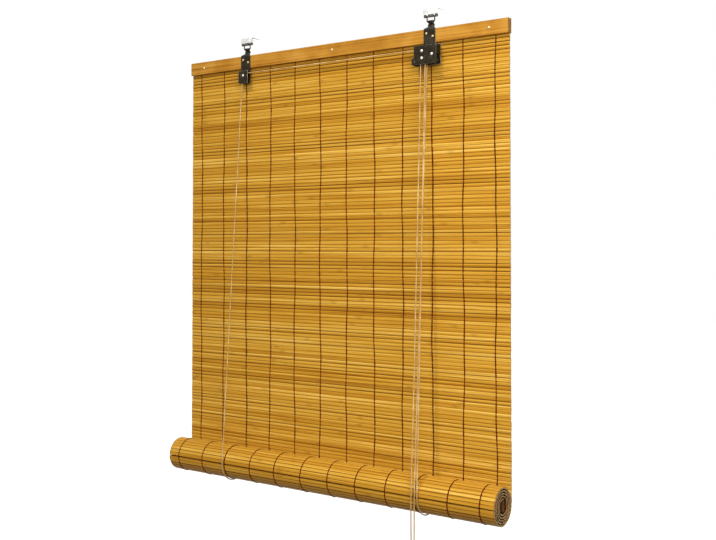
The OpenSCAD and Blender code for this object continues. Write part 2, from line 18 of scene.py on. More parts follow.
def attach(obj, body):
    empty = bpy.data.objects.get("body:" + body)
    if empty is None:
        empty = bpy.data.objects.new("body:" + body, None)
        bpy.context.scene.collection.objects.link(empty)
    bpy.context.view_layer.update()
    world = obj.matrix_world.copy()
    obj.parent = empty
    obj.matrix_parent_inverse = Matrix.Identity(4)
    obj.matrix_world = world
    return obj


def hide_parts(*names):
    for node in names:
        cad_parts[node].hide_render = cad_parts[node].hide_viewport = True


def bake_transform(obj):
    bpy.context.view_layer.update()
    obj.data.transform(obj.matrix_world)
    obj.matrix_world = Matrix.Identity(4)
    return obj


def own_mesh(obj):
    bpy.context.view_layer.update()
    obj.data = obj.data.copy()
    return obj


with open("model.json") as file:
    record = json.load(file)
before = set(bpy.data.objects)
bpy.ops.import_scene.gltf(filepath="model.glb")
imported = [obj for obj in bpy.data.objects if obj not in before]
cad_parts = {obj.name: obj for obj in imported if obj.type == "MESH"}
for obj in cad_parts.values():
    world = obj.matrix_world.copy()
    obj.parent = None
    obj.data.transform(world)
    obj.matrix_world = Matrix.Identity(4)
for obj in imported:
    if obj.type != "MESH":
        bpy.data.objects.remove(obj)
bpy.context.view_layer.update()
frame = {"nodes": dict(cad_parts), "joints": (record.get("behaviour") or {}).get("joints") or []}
joints = {joint["name"]: joint for joint in frame["joints"]}
MM = 0.001
random.seed(7)

# %% [markdown]
# A hung blind leans back until its weight is under the links. Each piece is easier to model
# upright, so the lean is read from the joints here, and every finished piece is leaned once.

# %% The lean of the hung blind
pivot = Vector(joints["blind_swing"]["pos_m"])
rise = Vector(joints["roll_lift"]["axis"])
lean_angle = math.atan2(-rise.y, rise.z)
LEAN = Matrix.Translation(pivot) @ Matrix.Rotation(lean_angle, 4, "X") @ Matrix.Translation(-pivot)
UPRIGHT = LEAN.inverted()


def upright_points(name):
    """All points of a part, with the lean taken out."""
    return np.array([UPRIGHT @ vertex.co for vertex in frame["nodes"][name].data.vertices])


def upright_box(name):
    """Lowest and highest corner of a part, with the lean taken out."""
    points = upright_points(name)
    return Vector(points.min(axis=0)), Vector(points.max(axis=0))


mat_low, mat_high = upright_box("hanging_mat")
mat_middle_y = (mat_low.y + mat_high.y) / 2
rail_foot = upright_box("front_lath")[0].z
roll_centre = UPRIGHT @ Vector(joints["roll_turn"]["pos_m"])
print(f"lean {math.degrees(lean_angle):.2f} degrees, rail foot {rail_foot / MM:.1f} mm")

# %% [markdown]
# ## Camera
# The picture was taken from the right, at about the height of the mat's middle. The place and the
# focal length come from a fit of the blind's corners, so that the render has the same view. The
# shift of the lens stands for the way the picture was cropped.

# %% Camera at the photograph's angle
# Lens and sensor are in millimetres, places in metres.
CAMERA_PLACE = Vector((1.1594, -1.6069, -0.4572))
CAMERA_YAW = math.radians(34.46)
CAMERA_PITCH = math.radians(1.37)
CAMERA_LENS = 48.09
CAMERA_SENSOR = 36
CAMERA_SHIFT = -0.0665
CAMERA_REACH = 100


def add_object(name, data):
    """A new object for a camera, a light, a curve or a mesh, linked into the scene."""
    made = bpy.data.objects.new(name, data)
    bpy.context.collection.objects.link(made)
    return made


camera_data = bpy.data.cameras.new("photo_camera")
camera_data.lens = CAMERA_LENS
camera_data.sensor_width = CAMERA_SENSOR
camera_data.shift_y = CAMERA_SHIFT
camera_data.clip_end = CAMERA_REACH
camera = add_object("photo_camera", camera_data)
aim = Matrix.Rotation(CAMERA_YAW, 4, "Z") @ Matrix.Rotation(math.pi / 2 + CAMERA_PITCH, 4, "X")
camera.matrix_world = LEAN @ Matrix.Translation(CAMERA_PLACE) @ aim
bpy.context.scene.camera = camera
print("camera at", [round(value, 3) for value in camera.matrix_world.translation])

# %% [markdown]
# ## Colours and shader nodes
# Colours are written as the hex values that a paint program shows, and one function turns them
# into the linear values that shaders use. A second function adds one shader node with its
# settings and inputs, which keeps each material short enough to read.

# %% Helpers for materials


def linear(code):
    """The linear colour of an sRGB hex code such as #c8923a."""
    values = [int(code[i:i + 2], 16) / 255 for i in (1, 3, 5)]
    return tuple(v / 12.92 if v <= 0.04045 else ((v + 0.055) / 1.055) ** 2.4 for v in values) + (1.0,)


def add_node(tree, kind, settings=None, inputs=None):
    """Add one node, give it settings, and set or link its inputs."""
    made = tree.nodes.new("ShaderNode" + kind)
    for name, value in (settings or {}).items():
        setattr(made, name, value)
    for name, value in (inputs or {}).items():
        if isinstance(value, bpy.types.NodeSocket):
            tree.links.new(value, made.inputs[name])
        else:
            made.inputs[name].default_value = value
    return made


def set_stops(ramp, stops):
    """Give a colour ramp its stops, each a place and a hex colour."""
    elements = ramp.color_ramp.elements
    while len(elements) < len(stops):
        elements.new(0.5)
    for element, (place, code) in zip(elements, stops):
        element.position = place
        element.color = linear(code)


def start_material(name, **sockets):
    """A new material, with plain values on its shader's sockets."""
    material = bpy.data.materials.new(name)
    material.use_nodes = True
    tree = material.node_tree
    shader = tree.nodes["Principled BSDF"]
    for socket, value in sockets.items():
        shader.inputs[socket.replace("_", " ")].default_value = value
    return material, tree, shader


def dress(mesh, *materials):
    """Give a mesh its materials, in place of any that it has."""
    mesh.materials.clear()
    for material in materials:
        mesh.materials.append(material)


print("a mid bamboo colour in linear light:", [round(v, 3) for v in linear("#c8923a")])

# %% [markdown]
# ## Stage and light
# The blind is a product on white. The floor lies as far below as a room's floor would. Floor and
# background are white only for the camera and for reflections, so they add little light.

# %% Floor
FLOOR_Z = -2.3
FLOOR_SIZE = 60
WHITE = (1, 1, 1, 1)

bpy.ops.object.select_all(action="DESELECT")
bpy.ops.mesh.primitive_plane_add(size=FLOOR_SIZE, location=(0, 0, FLOOR_Z))
floor = bpy.context.object
floor.name = "floor"
# Matt pale paint that melts into the white behind the blind and mirrors nothing.
floor_paint, tree, shader = start_material(
    "pale_floor_paint", Base_Color=linear("#8c8c8a"), Roughness=0.9, Emission_Color=WHITE)
path = add_node(tree, "LightPath")
seen = add_node(tree, "Math", {"operation": "MAXIMUM"}, {
    0: path.outputs["Is Camera Ray"], 1: path.outputs["Is Glossy Ray"]})
tree.links.new(seen.outputs[0], shader.inputs["Emission Strength"])
dress(floor.data, floor_paint)
print("floor", abs(FLOOR_Z), "m below the ceiling")

# %% White background
AMBIENT = 0.055

world = bpy.data.worlds.new("studio")
bpy.context.scene.world = world
world.use_nodes = True
tree = world.node_tree
path = add_node(tree, "LightPath")
mirror = add_node(tree, "Math", {"operation": "MAXIMUM"}, {
    0: path.outputs["Is Glossy Ray"], 1: path.outputs["Is Transmission Ray"]})
seen = add_node(tree, "Math", {"operation": "MAXIMUM"}, {
    0: path.outputs["Is Camera Ray"], 1: mirror.outputs[0]})
strength = add_node(tree, "MapRange", {}, {"Value": seen.outputs[0], "To Min": AMBIENT, "To Max": 1.0})
backdrop = tree.nodes["Background"]
backdrop.inputs["Color"].default_value = WHITE
tree.links.new(strength.outputs["Result"], backdrop.inputs["Strength"])
bpy.context.scene.view_settings.view_transform = "Standard"
print("the background lights the blind at", AMBIENT, "of the white that the camera sees")

# %% [markdown]
# A sun above the front throws the shadows of the rail and the cords on the mat. Its glint is
# switched off, so that the varnish stays silky. Three large lamps, at the right, above and behind,
# soften the shadows.

# %% Sun and lamps
SUN_STRENGTH = 1.6
SUN_WAY = Vector((0.06, 0.70, -0.72))
SUN_SPREAD = math.radians(4)
# Each lamp's name, place, aim, width in metres and power in watts.
SOFT_LIGHTS = (
    ("studio_fill", (1.6, -1.4, 0.3), (0.35, 0, -0.5), 1.4, 41),
    ("studio_top", (0.1, -1.0, 0.9), (0.1, -0.04, -0.6), 1.6, 8),
    ("studio_back", (-0.5, 1.7, 0.3), (0, 0, -0.55), 1.8, 44),
)


def shine(light, way):
    """Turn a light so that it shines along a direction."""
    light.rotation_euler = way.to_track_quat("-Z", "Y").to_euler()


sun_data = bpy.data.lights.new("studio_sun", "SUN")
sun_data.energy = SUN_STRENGTH
sun_data.angle = SUN_SPREAD
sun_data.specular_factor = 0
shine(add_object("studio_sun", sun_data), SUN_WAY)

for name, place, aim_at, size, power in SOFT_LIGHTS:
    light_data = bpy.data.lights.new(name, "AREA")
    light_data.energy = power
    light_data.size = size
    light = add_object(name, light_data)
    light.location = place
    shine(light, Vector(aim_at) - Vector(place))
print("one sun and", len(SOFT_LIGHTS), "lamps")

# %% [markdown]
# ## Twisted cotton cord
# The cords are three cotton yarns laid together. A round tube would look like plastic wire, so
# a three-lobed section is swept along each route and turns as it goes, which makes the lay.

# %% Material of the cords
# Loose cotton scatters light: matt and cream, with darker stretches along the cord. The fuzz is
# drawn coarser than cotton fibre, so that it shows.
YARN_FUZZ = 0.4 * MM
YARN_FUZZ_DEPTH = 0.1 * MM
YARN_PATCH = 25 * MM
FUZZ_SHARE = 0.6

cotton_cord, tree, shader = start_material("cream_cotton_cord", Roughness=0.9, Specular_IOR_Level=0.2)
place = add_node(tree, "TexCoord")
fuzz = add_node(tree, "TexNoise", {}, {
    "Vector": place.outputs["Object"], "Scale": 1 / YARN_FUZZ, "Detail": 3.0})
patch = add_node(tree, "TexNoise", {}, {"Vector": place.outputs["Object"], "Scale": 1 / YARN_PATCH})
blend = add_node(tree, "Math", {"operation": "MULTIPLY_ADD"}, {
    0: fuzz.outputs["Fac"], 1: FUZZ_SHARE, 2: patch.outputs["Fac"]})
ramp = add_node(tree, "ValToRGB", {}, {"Fac": blend.outputs[0]})
set_stops(ramp, [(0.35, "#96703c"), (0.80, "#cca468"), (1.0, "#e4c690")])
bump = add_node(tree, "Bump", {}, {
    "Height": fuzz.outputs["Fac"], "Strength": 0.35, "Distance": YARN_FUZZ_DEPTH})
tree.links.new(ramp.outputs["Color"], shader.inputs["Base Color"])
tree.links.new(bump.outputs["Normal"], shader.inputs["Normal"])
print("made", cotton_cord.name)

# %% Section and lay of a cord
# The soft yarns stand out from the solid cord of the model, which is 2 mm thick.
CORD_D = 2.6 * MM
CORD_LAY = 8 * MM
CORD_STEP = 0.9 * MM
YARNS = 3
LOBE_DEPTH = 0.14
SECTION_POINTS = 9


def new_curve(name, points, closed=False):
    """A curve object through points, drawn with straight pieces."""
    data = bpy.data.curves.new(name, "CURVE")
    data.dimensions = "3D"
    line = data.splines.new("POLY")
    line.points.add(len(points) - 1)
    for spot, point in zip(line.points, points):
        spot.co = (*point, 1)
    line.use_cyclic_u = closed
    return add_object(name, data)


def lobed(step):
    """A point of the section, which has one lobe for each yarn."""
    angle = math.tau * step / SECTION_POINTS
    reach = CORD_D / 2 * (1 - LOBE_DEPTH * (1 - math.cos(YARNS * angle)) / 2)
    return reach * math.cos(angle), reach * math.sin(angle), 0


cord_section = new_curve("cord_section", [lobed(step) for step in range(SECTION_POINTS)], closed=True)
print("cord section", SECTION_POINTS, "points,", CORD_D / MM, "mm across")

# %% Routes as close points


def smooth_route(route, step):
    """Points close together on a smooth curve through a route's points."""
    route = [Vector(point) for point in route]
    ends = [2 * route[0] - route[1]] + route + [2 * route[-1] - route[-2]]
    points = []
    for before, start, end, after in zip(ends, ends[1:], ends[2:], ends[3:]):
        reach = (end - start).length
        count = max(1, round(reach / step))
        leave = (end - before).normalized() * reach
        arrive = (after - start).normalized() * reach
        for index in range(count):
            t = index / count
            points.append(start * (2 * t**3 - 3 * t**2 + 1) + leave * (t**3 - 2 * t**2 + t)
                          + end * (3 * t**2 - 2 * t**3) + arrive * (t**3 - t**2))
    return points + [route[-1]]


def route_length(points):
    """Length along a list of points."""
    return sum((end - start).length for start, end in zip(points, points[1:]))


def in_mm(values):
    """Lengths as rounded millimetres, to print."""
    return [round(value / MM, 1) for value in values]


print("a cord is swept in steps of", CORD_STEP / MM, "mm")

# %% Sweep a cord along a route


def pick_only(piece):
    """Select one object and make it the active one."""
    bpy.ops.object.select_all(action="DESELECT")
    piece.select_set(True)
    bpy.context.view_layer.objects.active = piece


def to_mesh(piece):
    """Turn a curve object into a mesh, as Object > Convert does."""
    pick_only(piece)
    bpy.ops.object.convert(target="MESH")
    return bpy.context.object


def hang(piece):
    """Lean a finished piece back with the blind."""
    piece.data.transform(LEAN)
    return piece


def lay_cord(name, points):
    """A twisted cord along close points, as a leaned mesh."""
    piece = new_curve(name, points)
    for index, spot in enumerate(piece.data.splines[0].points):
        spot.tilt = math.tau * index * CORD_STEP / CORD_LAY
    piece.data.bevel_mode = "OBJECT"
    piece.data.bevel_object = cord_section
    piece.data.use_fill_caps = True
    piece = to_mesh(piece)
    bpy.ops.object.shade_smooth()
    dress(piece.data, cotton_cord)
    return hang(piece)


print("one lay of the cord is", CORD_LAY / MM, "mm long")

# %% [markdown]
# ## Pull cords
# Both pull cords leave the lock, hang down in front of the roll and end in one knot below the
# picture. The routes are the same points as in the solid model. The bend inside the lock keeps its
# form, so it is a piece of its own. The strand below it is a piece too, and so is the lower end
# between the roll and the knot.

# %% Routes of the pull cords
LEFT_PULL = [
    (231.5, -26, -84), (230.8, -26, -81.5), (229, -26, -79.7), (226.5, -26, -79),
    (224, -26, -79.7), (222.2, -26, -81.5), (221.5, -26, -84), (221.5, -26.5, -90),
    (222, -28, -112), (224, -38, -280), (227, -52, -480), (230, -66.5, -690),
    (232, -82.5, -923),
]
RIGHT_PULL = [
    (231.5, -19, -84.2), (231.5, -19.2, -87), (231.5, -19.5, -90), (231.6, -20.2, -100),
    (231.8, -21, -112), (232.3, -26.5, -190), (233, -33, -280), (234, -40.5, -380),
    (235, -48.5, -480), (236, -56.5, -585), (237, -64.5, -690), (238, -73.5, -807),
    (239, -82.5, -923),
]
LEFT_END = [
    (232, -82.5, -923.5), (232, -82.6, -960), (232.3, -82.6, -1000), (233.8, -82.6, -1045),
    (234.6, -82.6, -1068),
]
RIGHT_END = [
    (239, -82.5, -923.5), (239, -82.6, -960), (238.7, -82.6, -1000), (237.4, -82.6, -1045),
    (236.8, -82.6, -1068),
]


def metres(route):
    """A route in metres."""
    return [Vector(point) * MM for point in route]


# %% Upper pull cords
HELD_FOOT = -92 * MM


def shorten(piece):
    """Give a piece a mesh of its own."""
    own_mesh(piece)


def lay_from_cover(name, points):
    """A cord in two pieces: the bend held in a cover keeps its form, and the strand below it is a piece of
    its own.
    """
    split = next(index for index, point in enumerate(points) if point.z < HELD_FOOT)
    bend, strand = points[:split + 1], points[split:]
    pieces = [lay_cord(name + "_bend", bend), lay_cord(name + "_twist", strand)]
    for piece in pieces:
        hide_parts(name)
        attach(piece, "head")
    shorten(pieces[1])
    return pieces[1], strand


for name, route in (("left_pull_cord", LEFT_PULL), ("right_pull_cord", RIGHT_PULL)):
    piece, strand = lay_from_cover(name, smooth_route(metres(route), CORD_STEP))
    print(name, round(route_length(strand), 3), "m")

# %% [markdown]
# The knot is an overhand knot drawn tight. A short coil of the same twisted cord, wound round
# the two ends, reads as that knot from every side.

# %% The knot
KNOT_TURNS = 2.6
KNOT_RADIUS = 2.6 * MM
KNOT_STEPS = 48
# Share of the cord that is wound, radius at the winding's ends as a share of the fullest, and how
# far the rest comes back up through the middle, in halves of the knot's height.
KNOT_WOUND = 0.8
KNOT_NECK = 0.75
KNOT_RETURN = 1.6
knot_low, knot_high = upright_box("pull_knot")
knot_middle = (knot_low + knot_high) / 2
knot_reach = (knot_high.z - knot_low.z) / 2 - CORD_D / 2


def knot_point(t):
    """A point on the winding of the knot, from its top to its foot and back through the middle."""
    if t < KNOT_WOUND:
        share = t / KNOT_WOUND
        angle = math.tau * KNOT_TURNS * share
        radius = KNOT_RADIUS * (KNOT_NECK + (1 - KNOT_NECK) * math.sin(math.pi * share))
        height = knot_reach * (1 - 2 * share)
    else:
        share = (t - KNOT_WOUND) / (1 - KNOT_WOUND)
        angle = math.tau * KNOT_TURNS
        radius = KNOT_RADIUS * KNOT_NECK * (1 - share)
        height = knot_reach * (KNOT_RETURN * share - 1)
    return knot_middle + Vector((radius * math.cos(angle), radius * math.sin(angle), height))


knot_points = [knot_point(step / KNOT_STEPS) for step in range(KNOT_STEPS + 1)]
knot = lay_cord("pull_knot_winding", smooth_route(knot_points, CORD_STEP))
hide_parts("pull_knot")
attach(knot, "pull_ends")
print("knot", in_mm(knot.dimensions), "mm")

# %% Lower ends of the pull cords
for name, route in (("left_pull_end", LEFT_END), ("right_pull_end", RIGHT_END)):
    points = smooth_route(metres(route), CORD_STEP)
    piece = lay_cord(name + "_twist", points)
    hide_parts(name)
    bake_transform(piece)
    print(name, round(route_length(points), 3), "m")

# %% [markdown]
# ## Lift cords
# One cord runs over the left sheave and across to the lock. From each side a strand goes down
# the front, under the roll, and up behind the mat to a staple. Their places are read from the
# parts, and they get the same twisted section. The front strands are split under the covers, as
# the pull cords are.

# %% Straight strands


def shaft_line(name):
    """The two ends of a straight cord of the frame, upright, on its middle line."""
    points = upright_points(name)
    order = np.argsort(points[:, 2])
    half = len(order) // 2
    low, high = points[order[:half]], points[order[-half:]]
    ends = [(part.max(axis=0) + part.min(axis=0)) / 2 for part in (high, low)]
    return [Vector(end) for end in ends]


for name in ("left_lift_cord", "right_lift_cord"):
    top, foot = shaft_line(name)
    lay_from_cover(name, smooth_route([top, foot], CORD_STEP))
    print(name, in_mm(top), in_mm(foot))
for name in ("left_rear_cord", "right_rear_cord"):
    top, foot = shaft_line(name)
    piece = lay_cord(name + "_twist", smooth_route([top, foot], CORD_STEP))
    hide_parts(name)
    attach(piece, "head")
    shorten(piece)
    print(name, in_mm(top), in_mm(foot))

# %% Cord over the sheaves and loops under the roll
SHEAVE_R = 5 * MM
SHEAVE_STEPS = 6
LOOP_STEPS = 24


def arc(centre, radius, start, end, steps, plane):
    """Points on an arc, in the plane of X and Z or of Y and Z."""
    points = []
    for step in range(steps + 1):
        angle = math.radians(start + (end - start) * step / steps)
        across, up = radius * math.cos(angle), radius * math.sin(angle)
        points.append(centre + (Vector((across, 0, up)) if plane == "XZ" else Vector((0, across, up))))
    return points


left_axle = UPRIGHT @ Vector(joints["left_pulley_spin"]["pos_m"])
lock_axle = UPRIGHT @ Vector(joints["rear_lock_pulley_spin"]["pos_m"])
cross_low, cross_high = upright_box("cross_cord")
left_axle.y = lock_axle.y = (cross_low.y + cross_high.y) / 2
cross_route = (arc(left_axle, SHEAVE_R, 180, 90, SHEAVE_STEPS, "XZ")
               + arc(lock_axle, SHEAVE_R, 90, 0, SHEAVE_STEPS, "XZ"))
cross = lay_cord("cross_cord_twist", smooth_route(cross_route, CORD_STEP))
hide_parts("cross_cord")
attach(cross, "head")

for name in ("left_cord_loop", "right_cord_loop"):
    low, high = upright_box(name)
    middle = Vector(((low.x + high.x) / 2, (low.y + high.y) / 2, high.z))
    radius = (high.y - low.y - CORD_D) / 2
    loop_route = arc(middle, radius, 180, 360, LOOP_STEPS, "YZ")
    piece = lay_cord(name + "_twist", smooth_route(loop_route, CORD_STEP))
    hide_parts(name)
    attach(piece, "carriage")
    print(name, "radius", round(radius / MM, 2), "mm")

# %% [markdown]
# ## Split bamboo
# The slats are split from the wall of a bamboo culm: a hard outer skin with fine fibres along
# the length, and a dark ring at each joint of the culm. Their sides are painted brown as the shade
# between slats. Each slat carries its own tone and its own stretch of fibre, so no two look the same.

# %% Grain of bamboo
# The fibres are drawn a little coarser than real ones, so that they show.
FIBRE_LONG = 110 * MM
FIBRE_FINE = 0.7 * MM
FIBRE_DETAIL = 4.0
FIBRE_SHARE = 0.5
FIBRE_DEPTH = 0.1 * MM
STREAK_LONG = 260 * MM
STREAK_WIDE = 2.4 * MM
STREAK_DETAIL = 3.0


def along_culm(tree, spot, length, width, detail):
    """A pattern drawn out along X, as the fibres are along a culm."""
    drawn = add_node(tree, "Mapping", {}, {"Vector": spot, "Scale": (1 / length, 1 / width, 1 / width)})
    noise = add_node(tree, "TexNoise", {}, {"Vector": drawn.outputs[0], "Scale": 1.0, "Detail": detail})
    return noise.outputs["Fac"]


print("fibres", FIBRE_FINE / MM, "mm and streaks", STREAK_WIDE / MM, "mm wide")

# %% Tone, stain and painted shade of slats and laths
JOINT_SPACING = 340 * MM
JOINT_WIDTH = 12 * MM
JOINT_STAIN = 0.25
LATH_PATCH = 45 * MM
PATCH_RANGE = (0.3, 0.7)
LATH_TONE = (-0.16, 0.12)
END_SOAK = 1.5 * MM
END_STAIN = 0.45
lath_end = min(upright_box(name)[1].x for name in ("front_lath", "rear_lath", "bottom_lath"))


def slat_look(tree, spot):
    """Tone and darkening of a slat: painted shade kept on its points, and a stained ring at each joint of
    the culm.
    """
    tone = add_node(tree, "Attribute", {"attribute_name": "tone"})
    groove_shade = add_node(tree, "Attribute", {"attribute_name": "groove_shade"})
    along = add_node(tree, "SeparateXYZ", {}, {"Vector": spot})
    turn = add_node(tree, "Math", {"operation": "PINGPONG"}, {0: along.outputs["X"], 1: JOINT_SPACING})
    ring = add_node(tree, "MapRange", {}, {
        "Value": turn.outputs[0], "From Min": 0.0, "From Max": JOINT_WIDTH,
        "To Min": JOINT_STAIN, "To Max": 0.0})
    stain_and_shade = add_node(tree, "Math", {"operation": "MAXIMUM"}, {
        0: ring.outputs[0], 1: groove_shade.outputs["Fac"]})
    return tone.outputs["Fac"], stain_and_shade.outputs[0]


def lath_look(tree, spot):
    """Tone and stain of a lath: lighter and darker patches, and ends that have soaked up stain."""
    patch = add_node(tree, "TexNoise", {}, {"Vector": spot, "Scale": 1 / LATH_PATCH})
    tone = add_node(tree, "MapRange", {}, {
        "Value": patch.outputs["Fac"], "From Min": PATCH_RANGE[0], "From Max": PATCH_RANGE[1],
        "To Min": LATH_TONE[0], "To Max": LATH_TONE[1]})
    along = add_node(tree, "SeparateXYZ", {}, {"Vector": spot})
    reach = add_node(tree, "Math", {"operation": "ABSOLUTE"}, {0: along.outputs["X"]})
    stain_and_shade = add_node(tree, "MapRange", {}, {
        "Value": reach.outputs[0], "From Min": lath_end - END_SOAK, "From Max": lath_end,
        "To Max": END_STAIN})
    return tone.outputs[0], stain_and_shade.outputs[0]


print("a joint of the culm every", JOINT_SPACING / MM, "mm")

# %% Varnished bamboo
# The slats' dark brown is mixed in for the stained rings at the culm's joints and for the shade painted in
# the grooves.
SLAT_STAIN_AND_SHADE = "#582600"
LATH_STAIN = "#3a220c"
# Sockets of a Mix node that mixes two colours.
MIX_FROM, MIX_TO, MIX_RESULT = 6, 7, 2


def bamboo(name, stops, look, stain_and_shade_code):
    """Varnished bamboo with fibres along X; look gives the tone and the darkening of a slat or a lath:
    stain, and on slats painted shade too.
    """
    material, tree, shader = start_material(name, Roughness=0.5, IOR=1.5, Specular_IOR_Level=0.1)
    place = add_node(tree, "TexCoord")
    seed = add_node(tree, "Attribute", {"attribute_name": "seed"})
    shift = add_node(tree, "CombineXYZ", {}, {"X": seed.outputs["Fac"]})
    spot = add_node(tree, "VectorMath", {"operation": "ADD"}, {
        0: place.outputs["Object"], 1: shift.outputs[0]}).outputs[0]
    fibre = along_culm(tree, spot, FIBRE_LONG, FIBRE_FINE, FIBRE_DETAIL)
    streak = along_culm(tree, spot, STREAK_LONG, STREAK_WIDE, STREAK_DETAIL)
    grain = add_node(tree, "Math", {"operation": "MULTIPLY_ADD"}, {0: fibre, 1: FIBRE_SHARE, 2: streak})
    tone, stain_and_shade = look(tree, spot)
    level = add_node(tree, "Math", {"operation": "ADD"}, {0: grain.outputs[0], 1: tone})
    ramp = add_node(tree, "ValToRGB", {}, {"Fac": level.outputs[0]})
    set_stops(ramp, stops)
    stained_and_shaded = add_node(tree, "Mix", {"data_type": "RGBA"}, {
        "Factor": stain_and_shade, MIX_FROM: ramp.outputs["Color"], MIX_TO: linear(stain_and_shade_code)})
    bump = add_node(tree, "Bump", {}, {"Height": fibre, "Strength": 0.25, "Distance": FIBRE_DEPTH})
    tree.links.new(stained_and_shaded.outputs[MIX_RESULT], shader.inputs["Base Color"])
    tree.links.new(bump.outputs["Normal"], shader.inputs["Normal"])
    return material


# Gold with a silky sheen, streaked along each slat, and brown where shade is painted in the grooves.
slat_bamboo = bamboo("varnished_split_bamboo", [
    (0.30, "#925a10"), (0.60, "#bf8522"), (0.85, "#d49f36"), (1.0, "#eabb58")], slat_look, SLAT_STAIN_AND_SHADE)
# Planed laths: an even honey colour, with soft patches and darker ends.
lath_bamboo = bamboo("varnished_bamboo_lath", [
    (0.35, "#945c14"), (0.75, "#c0862e"), (1.0, "#d09a44")], lath_look, LATH_STAIN)
# The core lath is painted dark as shade, so it stays dark deep among the turns of the roll.
shaded_core_bamboo = bamboo("shaded_bamboo_core_lath", [
    (0.35, "#3a2008"), (0.75, "#5c3a14"), (1.0, "#70481c")], lath_look, LATH_STAIN)
print("made", slat_bamboo.name + ",", lath_bamboo.name, "and", shaded_core_bamboo.name)

# %% [markdown]
# Cut ends show the dark bundles of vessels in the culm's wall. On the roll, the slats are painted darker
# next to them, as shade between the turns.

# %% Material of the cut ends
# Dry and matt: pale straw with dark dots.
VESSEL = 0.6 * MM

bamboo_end, tree, shader = start_material(
    "cut_bamboo_end_grain", Roughness=0.75, IOR=1.5, Specular_IOR_Level=0.1)
place = add_node(tree, "TexCoord")
vessels = add_node(tree, "TexVoronoi", {}, {"Vector": place.outputs["Object"], "Scale": 1 / VESSEL})
ramp = add_node(tree, "ValToRGB", {}, {"Fac": vessels.outputs["Distance"]})
set_stops(ramp, [(0.1, "#2c1a0c"), (0.35, "#946f42"), (0.7, "#e6ca9a")])
tree.links.new(ramp.outputs["Color"], shader.inputs["Base Color"])
print("made", bamboo_end.name)

# %% [markdown]
# One slat is modelled as a pattern: a cube drawn out, with its long edges rounded, then cut across
# so that it can bow. The skin side is more rounded than the side that faces the window. Two cuts
# along the slat keep the painted shade near its edges.

# %% Size of a slat, and two tools to shape it
SLAT_PITCH = 7.2 * MM
SLAT_HIGH = 7.5 * MM
slat_long = mat_high.x - mat_low.x
slat_thick = mat_high.y - mat_low.y


def pick_edges(piece, test):
    """Select the edges in edit mode whose two ends pass a test."""
    form = bmesh.from_edit_mesh(piece.data)
    for part in (form.faces, form.edges, form.verts):
        for item in part:
            item.select_set(False)
    for edge in form.edges:
        if test(edge.verts[0].co, edge.verts[1].co):
            edge.select_set(True)
    bmesh.update_edit_mesh(piece.data)


def cut_all(point, way):
    """Cut a whole mesh in edit mode along a plane, and keep both sides."""
    bpy.ops.mesh.select_all(action="SELECT")
    bpy.ops.mesh.bisect(plane_co=point, plane_no=way)


print(f"a slat is {slat_long / MM:.0f} mm long and {slat_thick / MM:.1f} mm thick")

# %% One slat
SLAT_CUTS = 31
SLAT_TIP = 3.5 * MM
# Height of the cuts that keep the painted groove shade near the slat's edges.
SHADE_LINE = 2.3 * MM
# Side of the slat, rounding of its long edges and steps in that rounding: skin, then window side.
SLAT_SIDES = ((-1, 1.75 * MM, 4), (1, 0.75 * MM, 3))
SLAT_CREASE = math.radians(50)
# A point this far out, as a share of the slat's size, is on its side.
AT_SIDE = 0.49
# A face whose normal has this share along X looks sideways.
FACING = 0.9

bpy.ops.object.select_all(action="DESELECT")
bpy.ops.mesh.primitive_cube_add(size=1)
slat_pattern = bpy.context.object
slat_pattern.name = "slat_pattern"
bpy.ops.object.mode_set(mode="EDIT")
bpy.context.tool_settings.mesh_select_mode = (False, True, False)
bpy.ops.transform.resize(value=(slat_long, slat_thick, SLAT_HIGH))
for side, rounding, segments in SLAT_SIDES:
    pick_edges(slat_pattern, lambda a, b: (
        abs(a.x - b.x) > slat_long / 2
        and min(side * a.y, side * b.y) > slat_thick * AT_SIDE
        and min(abs(a.z), abs(b.z)) > SLAT_HIGH * AT_SIDE))
    bpy.ops.mesh.bevel(offset=rounding, offset_type="OFFSET", segments=segments, affect="EDGES")
pick_edges(slat_pattern, lambda a, b: abs(a.x - b.x) > slat_long / 2)
bpy.ops.mesh.subdivide(number_cuts=SLAT_CUTS)
for x in (SLAT_TIP - slat_long / 2, slat_long / 2 - SLAT_TIP):
    cut_all((x, 0, 0), (1, 0, 0))
for z in (-SHADE_LINE, SHADE_LINE):
    cut_all((0, 0, z), (0, 0, 1))
bpy.ops.object.mode_set(mode="OBJECT")
dress(slat_pattern.data, slat_bamboo, bamboo_end)
for face in slat_pattern.data.polygons:
    face.material_index = int(abs(face.normal.x) > FACING)
bpy.ops.object.shade_smooth_by_angle(angle=SLAT_CREASE)
print("one slat has", len(slat_pattern.data.polygons), "faces")

# %% [markdown]
# Every copy gets its own width, thickness and bow, as split bamboo is never quite straight. A slat
# hangs in the mat, lies on the outer turn of the roll, or sits deeper inside the roll, and each of
# these layers has its own measures.

# %% Uneven form of a slat
SLAT_NARROW = (0.82, 0.98)
SLAT_THIN = (0.80, 0.98)
SLAT_BOW = 0.22 * MM
BOW_WAVES = (0.5, 1.5)
END_UNEVEN = {"mat": 1.5 * MM, "outer": 1.5 * MM, "inner": 2.4 * MM}
TIP_REACH = SLAT_TIP * 1.01
pattern_points = np.array([vertex.co for vertex in slat_pattern.data.vertices])
front_share = np.clip(-2 * pattern_points[:, 1] / slat_thick, 0, 1)
at_tip = np.abs(pattern_points[:, 0]) > slat_long / 2 - TIP_REACH


